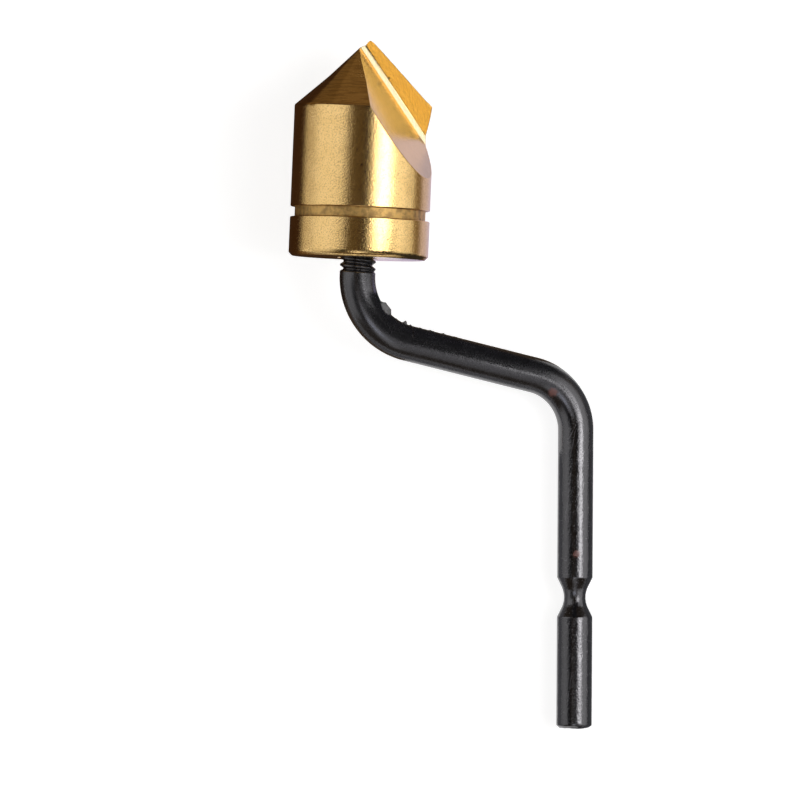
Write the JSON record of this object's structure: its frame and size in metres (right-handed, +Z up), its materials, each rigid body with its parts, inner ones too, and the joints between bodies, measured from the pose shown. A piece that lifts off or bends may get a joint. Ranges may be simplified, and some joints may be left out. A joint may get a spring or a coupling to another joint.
{
  "type": "countersink and deburring bit with cranked shank",
  "caption": "Single-flute 90 degree countersink head, coated gold, screwed onto a cranked black steel shank with a retaining neck for a hand deburring handle.",
  "frame": {"origin": "on the axis of the straight shank, at the middle of its retaining neck", "axes": "+Y along the straight shank towards the cutting head; the handle leaves along -Y; +Z up from the surface on which the shank and the head's side lie; the head is offset towards -X"},
  "size_m": [0.0275, 0.0617, 0.0126],
  "materials": {
    "coated_head": "ground high-speed steel with a satin gold hard coating",
    "black_shank": "drawn steel rod with a satin black oxide finish"
  },
  "bodies": {
    "root": {"cutting_head": "coated_head", "crank_shank": "black_shank"}
  },
  "joints": []
}
